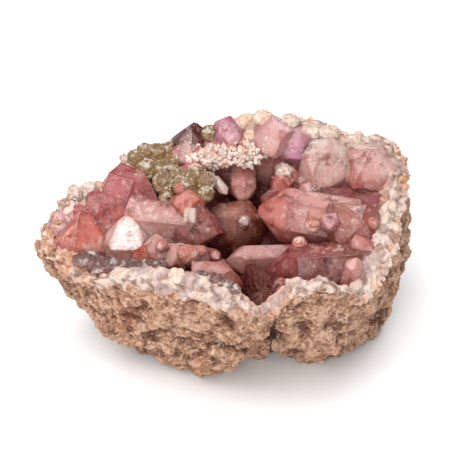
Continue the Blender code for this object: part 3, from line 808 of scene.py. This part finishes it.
swells = relief_texture("crystal_swells", "CLOUDS", 5.0, noise_depth=1)
USUAL_SWELL = 0.45  # how far the swells move the faces of all crystals but these
SWELL = {"bright": 0.02, "cloudy": 1.4, "large_pale": 1.0, "corner": 1.0}
SHARP, ROUNDED = math.radians(12), math.radians(35)  # the least angle between faces that shows as an edge
covered = set()
clusters = {}
for group, rows in CRYSTALS.items():
    crystals = []
    for name, tip, root, width, turn, root_tone, tip_tone in rows:
        crystal = quartz_point(tip, root, width, turn, random.Random(f"{group}_{name}"))
        swell = SWELL.get(name, USUAL_SWELL)
        apply_modifier(crystal, "DISPLACE", texture=swells, texture_coords="LOCAL", strength=swell * MM)
        bpy.ops.object.shade_smooth_by_angle(angle=SHARP if swell <= USUAL_SWELL else ROUNDED)
        tint(crystal, tip, root, PINK[root_tone], PINK[tip_tone])
        crystals.append(crystal)
    cluster = joined(crystals, f"crystals_{group}")
    covered |= give_way(bed, cluster, reach=2.0, depth=1.0)
    clusters[group] = cluster
    cluster.data.materials.append(amethyst)
    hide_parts("crystal_crust")
    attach(cluster, "root")

# ---- The smaller crystals between them -------------------------------------------------------------
# The rest of the bed is crowded with smaller points of the same quartz, 3 to 6.5 mm wide, that lean out of
# it every way and show only their tips.
SMALL_WIDTHS = (3, 6.5)
ROOM = 4.6  # from one to the next
SMALL_LEAN = 0.6  # how far they may lean off the bed's normal, along each axis
STANDS_OUT = 0.55  # how far the tip stands out of the bed, in widths
DISH_REACH = (50, 36)  # half the length and half the width of the hollow that they stand in


def on_bed(spot, normal):
    """The hollow's floor and walls, but for the pocket, the ledge and the clear strip behind the band."""
    across = math.hypot(spot.x / DISH_REACH[0], spot.y / DISH_REACH[1])
    in_pocket = across_pocket(spot.x, spot.y) < 1
    at_back = spot.y > LEDGE_FRONT and spot.x < 30
    at_notch = spot.x >= 0 and spot.y < -12 and (spot.x < 18 or spot.z > 42 or spot.y < -22)
    at_front = spot.x < 0 and spot.y < -16
    return normal.z > 0.3 and across < 0.95 and not (in_pocket or at_back or at_front or at_notch)


chance = random.Random(5)
order = [vertex for vertex in bed.data.vertices if vertex.index not in covered]
chance.shuffle(order)
spots, small = [], []
for vertex in order:
    spot = vertex.co / MM + MIDDLE
    if not on_bed(spot, vertex.normal) or any((spot - other).length < ROOM for other in spots):
        continue
    spots.append(spot)
    width = chance.uniform(*SMALL_WIDTHS)
    lean = Vector([chance.uniform(-SMALL_LEAN, SMALL_LEAN) for _ in range(3)])
    axis = (vertex.normal + lean).normalized()
    tip, root = spot + axis * width * STANDS_OUT, spot - axis * width
    crystal = quartz_point(tip, root, width, chance.uniform(0, 60), chance, worn=False)
    tones = chance.choice([("wine", "rose"), ("rose", "salmon"), ("mauve", "rose"), ("rose", "pale")])
    tint(crystal, tip, root, PINK[tones[0]], PINK[tones[1]])
    small.append(crystal)
cluster = joined(small, "crystals_small")
give_way(bed, cluster, reach=1.0, depth=0.6)
cluster.data.materials.append(amethyst)
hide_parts("crystal_crust")
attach(cluster, "root")

# ---- The grey-green cluster and the other rounded growths ------------------------------------------
# The smoky ones are dark partly in their own colour and partly as painted shade, along the line between the
# crystals and the band.
# Knobbly balls of fine quartz: grey-green ones heaped at the back on the left, peach and white ones along
# the back edge, cream and smoky ones behind the band at the front, and single beads on the large crystals.
# Rows: middle, and the half sizes along X, Y and Z.
KNOBS = {
    "green": [
        ((-28.5, 28, 52), (2.8, 3.0, 3.6)), ((-25, 25, 49.5), (4.0, 3.6, 3.6)),
        ((-25, 31, 53), (3.4, 3.0, 3.0)), ((-21, 31, 53), (3.4, 3.2, 3.2)),
        ((-17, 32, 53), (2.8, 3.0, 2.8)), ((-20, 26, 50), (3.4, 3.2, 3.2)),
        ((-16.5, 27, 51), (3.6, 3.4, 3.4)), ((-18.5, 19, 48.5), (4.2, 4.0, 4.0)),
        ((-17.5, 13.5, 46.5), (2.8, 2.8, 3.0)), ((-11.5, 14, 50.5), (4.2, 4.2, 3.8)),
        ((-4.8, 15.5, 51.5), (3.6, 3.6, 3.4)), ((-8, 18.5, 52), (3.4, 3.4, 3.2)),
        ((-5, 10.5, 50), (3.0, 3.0, 3.2)), ((-4, 35.5, 57), (2.7, 3.0, 3.8)),
        ((-14, 21, 50), (3.4, 3.0, 3.0)),
    ],
    "peach": [
        ((8.5, 38, 60), (4.2, 3.4, 3.2)), ((14, 38, 62), (4.0, 3.4, 2.6)),
        ((10, 36, 56.5), (3.6, 4.0, 3.4)), ((4, 37.5, 58), (3.0, 3.0, 3.0)),
    ],
    "white": [
        ((23, 37.5, 61), (3.6, 3.2, 2.6)), ((30, 36, 57), (4.0, 3.6, 3.2)),
        ((36, 35, 57.5), (4.0, 3.6, 3.2)), ((45, 33, 55), (4.0, 3.6, 3.0)),
        ((21, 27, 48), (3.2, 3.6, 2.6)), ((-47.5, 14, 47.5), (2.8, 2.8, 3.0)),
        ((-43, 16.5, 47.2), (3.0, 3.0, 3.0)),
    ],
    "cream": [
        ((-51, 2, 43.5), (3.0, 3.0, 3.0)), ((-53, -5, 40), (3.0, 3.4, 2.6)),
        ((-49, -9, 40), (3.2, 3.0, 2.6)), ((-54, -1, 41.5), (2.8, 3.0, 2.6)),
        ((-46, -12, 40.5), (2.8, 2.6, 2.4)),
    ],
    "smoky_and_shade": [
        ((-34, -19.5, 43.2), (5.6, 3.0, 3.0)), ((-27, -22, 44.2), (5.4, 2.8, 2.8)),
        ((-41, -15, 42), (4.6, 3.2, 3.0)), ((-20, -22.5, 45), (4.8, 2.6, 2.4)),
        ((-6.5, -26.5, 42.6), (4.6, 3.4, 3.2)), ((-2, -29, 40.6), (4.2, 3.2, 3.0)),
        ((-1.2, -33.8, 49.3), (2.8, 1.9, 1.7)), ((1.4, -34.8, 48.2), (2.8, 1.8, 1.7)),
        ((4.0, -35.8, 46.8), (2.4, 1.7, 1.6)),
    ],
    "bead": [
        ((-13, 9, 53), (1.9, 1.9, 1.8)), ((-6, -12, 43.5), (2.2, 1.8, 1.8)),
        ((25, -5, 41), (2.6, 2.6, 2.6)), ((29.2, -1.6, 46), (2.6, 2.6, 2.6)),
        ((48, -2.8, 47.5), (2.0, 2.0, 2.0)), ((-18, -12, 45.5), (2.0, 2.0, 2.0)),
        ((-10, -14, 43.5), (3.6, 3.2, 3.2)),
    ],
}
KNOB_TONES = {  # at the top and at the foot
    "green": (colour(118, 84, 46), colour(176, 148, 100)),
    "peach": (colour(212, 176, 150), colour(230, 205, 188)),
    "white": (colour(204, 176, 160), colour(234, 220, 210)),
    "cream": (colour(178, 118, 92), colour(226, 184, 156)),
    "smoky_and_shade": (colour(84, 50, 44), colour(164, 116, 108)),
    "bead": (colour(172, 100, 86), colour(206, 142, 126)),
}
# How far their bulges and dimples go.
KNOB_RELIEF = {"green": 0.7, "peach": 0.8, "white": 0.9, "cream": 1.2, "smoky_and_shade": 1.1, "bead": 0.3}

sugared, sugared_shader, sugared_field = new_material("sugared_quartz")
own = sugared_field.attribute("tint", "Color")
cloud = sugared_field.noise(2.6, detail=4.0)
spread = own.mixed(colour(248, 240, 232), cloud.step(0.50, 0.68) * 0.45)
spread = spread.mixed(colour(132, 90, 72), cloud.step(0.47, 0.32) * 0.5)
feed(sugared_shader["Base Color"], spread)
hold(sugared_shader, {
    "Roughness": 0.3, "IOR": QUARTZ_IOR, "Transmission Weight": 0.15, "Subsurface Weight": 0.5,
    "Subsurface Radius": (1.0, 0.8, 0.6), "Subsurface Scale": 1.5 * MM,
})
sugar = sugared_field.cells(0.7) + sugared_field.cells(1.6)
sugar = sugar + sugared_field.noise(1.0, detail=5.0, roughness=0.7)
feed(sugared_shader["Normal"], sugared_field.bumped(sugar, 0.4))

dimples = relief_texture("knob_dimples", "VORONOI", 1.5)
bulges = relief_texture("knob_bulges", "CLOUDS", 2.5, noise_depth=1)
knob_pieces = {}
for kind, rows in KNOBS.items():
    balls = []
    for middle, sizes in rows:
        bpy.ops.mesh.primitive_ico_sphere_add(subdivisions=4, radius=1, location=in_frame(middle))
        ball = bpy.context.object
        ball.scale = Vector(sizes) * MM
        bpy.ops.object.transform_apply()
        for texture, side, level in ((bulges, 1, 0.5), (dimples, -1, 0.4)):
            apply_modifier(
                ball, "DISPLACE", texture=texture, texture_coords="LOCAL",
                strength=side * KNOB_RELIEF[kind] * MM, mid_level=level,
            )
        at_top, at_foot = KNOB_TONES[kind]
        tint(ball, (0, 0, middle[2] + sizes[2]), (0, 0, middle[2] - sizes[2]), at_foot, at_top)
        balls.append(ball)
    knobs = joined(balls, f"knobs_{kind}")
    keep_in_box(knobs)
    bpy.ops.object.shade_smooth_by_angle(angle=ROUNDED)
    give_way(bed, knobs, reach=1.5, depth=0.8)
    knobs.data.materials.append(sugared)
    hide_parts("crystal_crust")
    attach(knobs, "root")
    knob_pieces[kind] = knobs

# ---- Druse -----------------------------------------------------------------------------------------
# Small quartz points by the hundred, 0.3 to 1.9 mm wide. They make the sparkling ledge over the pocket, and
# frost the grey-green cluster and some of the large crystals.
DRUSE_LEAN = 0.45  # how far they may lean off the ground's normal, along each axis
SIXTH_TURN = 1.05  # in radians
TIP_HEIGHT = 0.55  # of their pointed end, in widths
STRETCH = (0.9, 1.3)  # how much taller or shorter than that they may be
bpy.ops.mesh.primitive_cylinder_add(vertices=6, radius=0.5, depth=1.0)
model = bpy.context.object
model.name = "small_point"
bpy.ops.object.mode_set(mode="EDIT")
bpy.ops.mesh.select_mode(type="FACE")
bpy.ops.mesh.select_all(action="DESELECT")
bpy.ops.object.mode_set(mode="OBJECT")
for face in model.data.polygons:
    face.select = face.normal.z > 0.5
bpy.ops.object.mode_set(mode="EDIT")
bpy.ops.mesh.extrude_region_move(TRANSFORM_OT_translate={"value": (0, 0, TIP_HEIGHT)})
bpy.ops.mesh.merge(type="CENTER")
bpy.ops.mesh.select_all(action="SELECT")
bpy.ops.mesh.quads_convert_to_tris()
bpy.ops.mesh.select_mode(type="VERT")
bpy.ops.object.mode_set(mode="OBJECT")
point_shape = points(model)
point_faces = np.array([face.vertices[:] for face in model.data.polygons])
bpy.data.objects.remove(model)


def druse(name, ground, chosen, spacing, widths, tones, length=0.3):
    """Small points standing on the ground wherever chosen says so, with room between them.

    Length is how much of each point's straight part stands clear, as a share of its width.
    """
    chance = random.Random(name)
    taken, verts, faces, shades = set(), [], [], []
    order = list(ground.data.vertices)
    chance.shuffle(order)
    for vertex in order:
        spot = vertex.co / MM + MIDDLE
        cell = tuple(int(part // spacing) for part in spot)
        if cell in taken or not chosen(spot, vertex.normal):
            continue
        taken.add(cell)
        width = chance.uniform(*widths)
        lean = Vector([chance.uniform(-DRUSE_LEAN, DRUSE_LEAN) for _ in range(3)])
        stand = (vertex.normal + lean).normalized().to_track_quat("Z", "Y").to_matrix()
        turn = stand @ Matrix.Rotation(chance.uniform(0, SIXTH_TURN), 3, "Z")
        shape = point_shape * np.array((width, width, width * chance.uniform(*STRETCH)))
        shape[:, 2] += width * (length - 0.5)  # the prism is half its width tall on either side of its middle
        start = len(verts)
        verts += (shape @ np.array(turn).T + np.array(spot - MIDDLE)).tolist()
        faces += (point_faces + start).tolist()
        share = chance.random()
        shade = [a * share + b * (1 - share) for a, b in zip(*tones)]
        shades += [(*shade, 1.0)] * len(shape)
    mesh = bpy.data.meshes.new(name)
    mesh.from_pydata((np.array(verts) * MM).tolist(), [], faces)
    piece = bpy.data.objects.new(name, mesh)
    scene.collection.objects.link(piece)
    layer = mesh.color_attributes.new("tint", "FLOAT_COLOR", "POINT")
    layer.data.foreach_set("color", np.array(shades, dtype=np.float32).ravel())
    mesh.materials.append(sugared)
    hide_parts("crystal_crust")
    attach(piece, "root")
    return piece


def on_ledge(spot, normal):
    return -11 < spot.x < 16 and 18 < spot.y < 31 and spot.z > 50 and normal.z - normal.y > 0.2


def frosted(spot, normal):
    """The pale crystals at the back on the right, the two under them, and a patch at the front."""
    patchy = noise.noise(spot / 6) + 0.5 * noise.noise(spot / 2) > 0.15
    at_back = 15 < spot.x < 31 and 12 < spot.y < 26 or spot.x > 31 and spot.y > 22
    at_front = -17 < spot.x < -5 and spot.y < -8 and spot.z > 44
    return patchy and normal.z > 0.1 and (at_back or at_front)


for group in ("back", "right", "middle"):
    druse(
        f"druse_frost_{group}", clusters[group], frosted, 0.5, (0.3, 0.6),
        (colour(252, 238, 230), colour(236, 196, 186)), length=-0.1,
    )
druse("druse_ledge", bed, on_ledge, 1.15, (1.0, 1.9), (colour(248, 224, 210), colour(222, 172, 156)))
druse(
    "druse_green", knob_pieces["green"], lambda spot, normal: normal.z > 0.5, 2.2, (0.7, 1.2),
    (colour(150, 124, 86), colour(210, 188, 150)), length=-0.25,
)
